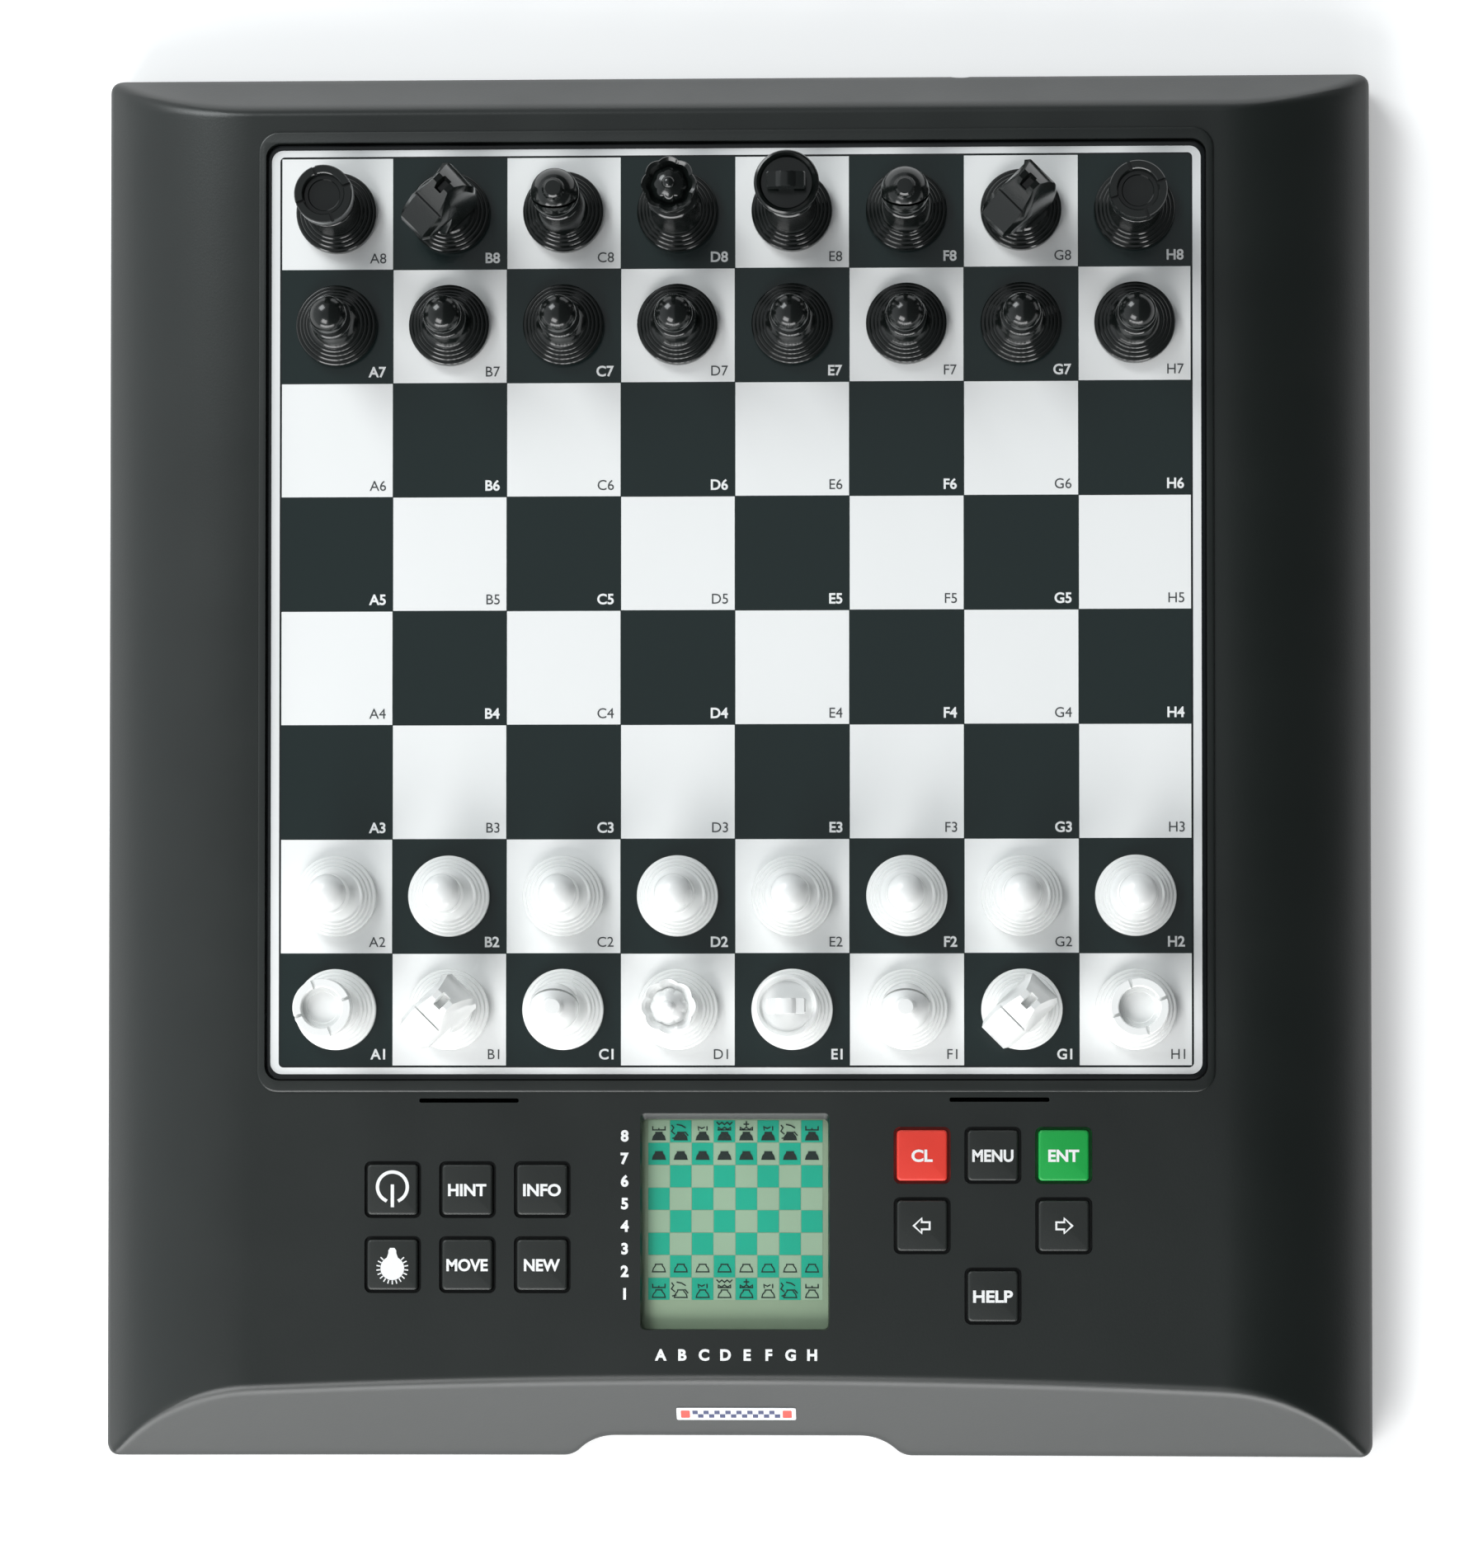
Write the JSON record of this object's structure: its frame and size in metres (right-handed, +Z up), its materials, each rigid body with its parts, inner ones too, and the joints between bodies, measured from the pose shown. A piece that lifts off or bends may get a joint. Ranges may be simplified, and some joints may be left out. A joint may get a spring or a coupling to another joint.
{
  "type": "electronic chess computer",
  "caption": "Flat electronic chess computer with a raised sensing board, dot display, two groups of push keys, battery bay and a full set of lift-off chess pieces.",
  "frame": {"origin": "on the table under the middle of the casing, at the level of the feet's bottom faces", "axes": "+X to the player's right, +Y away from the player towards the back edge, +Z up"},
  "size_m": [0.29, 0.317, 0.0806],
  "materials": {
    "casing_top": "satin moulded plastic, charcoal",
    "casing_bottom": "fine moulded texture, near black",
    "board_print": "glossy printed sheet, dark green-grey and white squares",
    "key_dark": "satin key caps with white legends",
    "key_red": "satin red",
    "key_green": "satin green",
    "window_clear": "clear acrylic",
    "lcd_glass": "reflective grey-green display glass",
    "circuit_board": "green solder mask",
    "mat_rubber": "soft pale silicone",
    "speaker_body": "dark",
    "jack_plastic": "black",
    "contact_metal": "plated spring steel",
    "foot_rubber": "matt black",
    "piece_white": "glossy white",
    "piece_black": "glossy black"
  },
  "bodies": {
    "casing": {"top_casing": "casing_top", "bottom_casing": "casing_bottom", "board_overlay": "board_print", "sensor_board": "circuit_board", "lcd_window": "window_clear", "lcd_panel": "lcd_glass", "main_pcb": "circuit_board", "keypad_mat": "mat_rubber", "speaker": "speaker_body", "dc_jack": "jack_plastic", "battery_contacts": "contact_metal", "foot_front_left": "foot_rubber", "foot_front_right": "foot_rubber", "foot_back_left": "foot_rubber", "foot_back_right": "foot_rubber"},
    "battery_door": {"battery_door": "casing_bottom"},
    "key_power": {"key_power": "key_dark"},
    "key_hint": {"key_hint": "key_dark"},
    "key_info": {"key_info": "key_dark"},
    "key_light": {"key_light": "key_dark"},
    "key_move": {"key_move": "key_dark"},
    "key_new": {"key_new": "key_dark"},
    "key_clear": {"key_clear": "key_red"},
    "key_menu": {"key_menu": "key_dark"},
    "key_enter": {"key_enter": "key_green"},
    "key_left": {"key_left": "key_dark"},
    "key_right": {"key_right": "key_dark"},
    "key_help": {"key_help": "key_dark"},
    "white_rook_a1": {"white_rook_a1": "piece_white"},
    "white_pawn_a2": {"white_pawn_a2": "piece_white"},
    "white_knight_b1": {"white_knight_b1": "piece_white"},
    "white_pawn_b2": {"white_pawn_b2": "piece_white"},
    "white_bishop_c1": {"white_bishop_c1": "piece_white"},
    "white_pawn_c2": {"white_pawn_c2": "piece_white"},
    "white_queen_d1": {"white_queen_d1": "piece_white"},
    "white_pawn_d2": {"white_pawn_d2": "piece_white"},
    "white_king_e1": {"white_king_e1": "piece_white"},
    "white_pawn_e2": {"white_pawn_e2": "piece_white"},
    "white_bishop_f1": {"white_bishop_f1": "piece_white"},
    "white_pawn_f2": {"white_pawn_f2": "piece_white"},
    "white_knight_g1": {"white_knight_g1": "piece_white"},
    "white_pawn_g2": {"white_pawn_g2": "piece_white"},
    "white_rook_h1": {"white_rook_h1": "piece_white"},
    "white_pawn_h2": {"white_pawn_h2": "piece_white"},
    "black_rook_a8": {"black_rook_a8": "piece_black"},
    "black_pawn_a7": {"black_pawn_a7": "piece_black"},
    "black_knight_b8": {"black_knight_b8": "piece_black"},
    "black_pawn_b7": {"black_pawn_b7": "piece_black"},
    "black_bishop_c8": {"black_bishop_c8": "piece_black"},
    "black_pawn_c7": {"black_pawn_c7": "piece_black"},
    "black_queen_d8": {"black_queen_d8": "piece_black"},
    "black_pawn_d7": {"black_pawn_d7": "piece_black"},
    "black_king_e8": {"black_king_e8": "piece_black"},
    "black_pawn_e7": {"black_pawn_e7": "piece_black"},
    "black_bishop_f8": {"black_bishop_f8": "piece_black"},
    "black_pawn_f7": {"black_pawn_f7": "piece_black"},
    "black_knight_g8": {"black_knight_g8": "piece_black"},
    "black_pawn_g7": {"black_pawn_g7": "piece_black"},
    "black_rook_h8": {"black_rook_h8": "piece_black"},
    "black_pawn_h7": {"black_pawn_h7": "piece_black"}
  },
  "joints": [
    {"name": "battery_door_hinge", "type": "hinge", "parent": "casing", "child": "battery_door", "pos_m": [0, 0.0991, 0.0029], "axis": [1, 0, 0], "range_deg": [0, 100]},
    {"name": "key_power_press", "type": "slide", "parent": "casing", "child": "key_power", "axis": [0, 0, -1], "range_m": [0, 0.0012], "stiffness_N_per_m": 1250, "springref_m": -0.0005},
    {"name": "key_hint_press", "type": "slide", "parent": "casing", "child": "key_hint", "axis": [0, 0, -1], "range_m": [0, 0.0012], "stiffness_N_per_m": 1250, "springref_m": -0.0005},
    {"name": "key_info_press", "type": "slide", "parent": "casing", "child": "key_info", "axis": [0, 0, -1], "range_m": [0, 0.0012], "stiffness_N_per_m": 1250, "springref_m": -0.0005},
    {"name": "key_light_press", "type": "slide", "parent": "casing", "child": "key_light", "axis": [0, 0, -1], "range_m": [0, 0.0012], "stiffness_N_per_m": 1250, "springref_m": -0.0005},
    {"name": "key_move_press", "type": "slide", "parent": "casing", "child": "key_move", "axis": [0, 0, -1], "range_m": [0, 0.0012], "stiffness_N_per_m": 1250, "springref_m": -0.0005},
    {"name": "key_new_press", "type": "slide", "parent": "casing", "child": "key_new", "axis": [0, 0, -1], "range_m": [0, 0.0012], "stiffness_N_per_m": 1250, "springref_m": -0.0005},
    {"name": "key_clear_press", "type": "slide", "parent": "casing", "child": "key_clear", "axis": [0, 0, -1], "range_m": [0, 0.0012], "stiffness_N_per_m": 1250, "springref_m": -0.0005},
    {"name": "key_menu_press", "type": "slide", "parent": "casing", "child": "key_menu", "axis": [0, 0, -1], "range_m": [0, 0.0012], "stiffness_N_per_m": 1250, "springref_m": -0.0005},
    {"name": "key_enter_press", "type": "slide", "parent": "casing", "child": "key_enter", "axis": [0, 0, -1], "range_m": [0, 0.0012], "stiffness_N_per_m": 1250, "springref_m": -0.0005},
    {"name": "key_left_press", "type": "slide", "parent": "casing", "child": "key_left", "axis": [0, 0, -1], "range_m": [0, 0.0012], "stiffness_N_per_m": 1250, "springref_m": -0.0005},
    {"name": "key_right_press", "type": "slide", "parent": "casing", "child": "key_right", "axis": [0, 0, -1], "range_m": [0, 0.0012], "stiffness_N_per_m": 1250, "springref_m": -0.0005},
    {"name": "key_help_press", "type": "slide", "parent": "casing", "child": "key_help", "axis": [0, 0, -1], "range_m": [0, 0.0012], "stiffness_N_per_m": 1250, "springref_m": -0.0005},
    {"name": "lift_white_rook_a1", "type": "slide", "parent": "casing", "child": "white_rook_a1", "axis": [0, 0, 1], "range_m": [0, 0.06]},
    {"name": "lift_white_pawn_a2", "type": "slide", "parent": "casing", "child": "white_pawn_a2", "axis": [0, 0, 1], "range_m": [0, 0.06]},
    {"name": "lift_white_knight_b1", "type": "slide", "parent": "casing", "child": "white_knight_b1", "axis": [0, 0, 1], "range_m": [0, 0.06]},
    {"name": "lift_white_pawn_b2", "type": "slide", "parent": "casing", "child": "white_pawn_b2", "axis": [0, 0, 1], "range_m": [0, 0.06]},
    {"name": "lift_white_bishop_c1", "type": "slide", "parent": "casing", "child": "white_bishop_c1", "axis": [0, 0, 1], "range_m": [0, 0.06]},
    {"name": "lift_white_pawn_c2", "type": "slide", "parent": "casing", "child": "white_pawn_c2", "axis": [0, 0, 1], "range_m": [0, 0.06]},
    {"name": "lift_white_queen_d1", "type": "slide", "parent": "casing", "child": "white_queen_d1", "axis": [0, 0, 1], "range_m": [0, 0.06]},
    {"name": "lift_white_pawn_d2", "type": "slide", "parent": "casing", "child": "white_pawn_d2", "axis": [0, 0, 1], "range_m": [0, 0.06]},
    {"name": "lift_white_king_e1", "type": "slide", "parent": "casing", "child": "white_king_e1", "axis": [0, 0, 1], "range_m": [0, 0.06]},
    {"name": "lift_white_pawn_e2", "type": "slide", "parent": "casing", "child": "white_pawn_e2", "axis": [0, 0, 1], "range_m": [0, 0.06]},
    {"name": "lift_white_bishop_f1", "type": "slide", "parent": "casing", "child": "white_bishop_f1", "axis": [0, 0, 1], "range_m": [0, 0.06]},
    {"name": "lift_white_pawn_f2", "type": "slide", "parent": "casing", "child": "white_pawn_f2", "axis": [0, 0, 1], "range_m": [0, 0.06]},
    {"name": "lift_white_knight_g1", "type": "slide", "parent": "casing", "child": "white_knight_g1", "axis": [0, 0, 1], "range_m": [0, 0.06]},
    {"name": "lift_white_pawn_g2", "type": "slide", "parent": "casing", "child": "white_pawn_g2", "axis": [0, 0, 1], "range_m": [0, 0.06]},
    {"name": "lift_white_rook_h1", "type": "slide", "parent": "casing", "child": "white_rook_h1", "axis": [0, 0, 1], "range_m": [0, 0.06]},
    {"name": "lift_white_pawn_h2", "type": "slide", "parent": "casing", "child": "white_pawn_h2", "axis": [0, 0, 1], "range_m": [0, 0.06]},
    {"name": "lift_black_rook_a8", "type": "slide", "parent": "casing", "child": "black_rook_a8", "axis": [0, 0, 1], "range_m": [0, 0.06]},
    {"name": "lift_black_pawn_a7", "type": "slide", "parent": "casing", "child": "black_pawn_a7", "axis": [0, 0, 1], "range_m": [0, 0.06]},
    {"name": "lift_black_knight_b8", "type": "slide", "parent": "casing", "child": "black_knight_b8", "axis": [0, 0, 1], "range_m": [0, 0.06]},
    {"name": "lift_black_pawn_b7", "type": "slide", "parent": "casing", "child": "black_pawn_b7", "axis": [0, 0, 1], "range_m": [0, 0.06]},
    {"name": "lift_black_bishop_c8", "type": "slide", "parent": "casing", "child": "black_bishop_c8", "axis": [0, 0, 1], "range_m": [0, 0.06]},
    {"name": "lift_black_pawn_c7", "type": "slide", "parent": "casing", "child": "black_pawn_c7", "axis": [0, 0, 1], "range_m": [0, 0.06]},
    {"name": "lift_black_queen_d8", "type": "slide", "parent": "casing", "child": "black_queen_d8", "axis": [0, 0, 1], "range_m": [0, 0.06]},
    {"name": "lift_black_pawn_d7", "type": "slide", "parent": "casing", "child": "black_pawn_d7", "axis": [0, 0, 1], "range_m": [0, 0.06]},
    {"name": "lift_black_king_e8", "type": "slide", "parent": "casing", "child": "black_king_e8", "axis": [0, 0, 1], "range_m": [0, 0.06]},
    {"name": "lift_black_pawn_e7", "type": "slide", "parent": "casing", "child": "black_pawn_e7", "axis": [0, 0, 1], "range_m": [0, 0.06]},
    {"name": "lift_black_bishop_f8", "type": "slide", "parent": "casing", "child": "black_bishop_f8", "axis": [0, 0, 1], "range_m": [0, 0.06]},
    {"name": "lift_black_pawn_f7", "type": "slide", "parent": "casing", "child": "black_pawn_f7", "axis": [0, 0, 1], "range_m": [0, 0.06]},
    {"name": "lift_black_knight_g8", "type": "slide", "parent": "casing", "child": "black_knight_g8", "axis": [0, 0, 1], "range_m": [0, 0.06]},
    {"name": "lift_black_pawn_g7", "type": "slide", "parent": "casing", "child": "black_pawn_g7", "axis": [0, 0, 1], "range_m": [0, 0.06]},
    {"name": "lift_black_rook_h8", "type": "slide", "parent": "casing", "child": "black_rook_h8", "axis": [0, 0, 1], "range_m": [0, 0.06]},
    {"name": "lift_black_pawn_h7", "type": "slide", "parent": "casing", "child": "black_pawn_h7", "axis": [0, 0, 1], "range_m": [0, 0.06]}
  ]
}
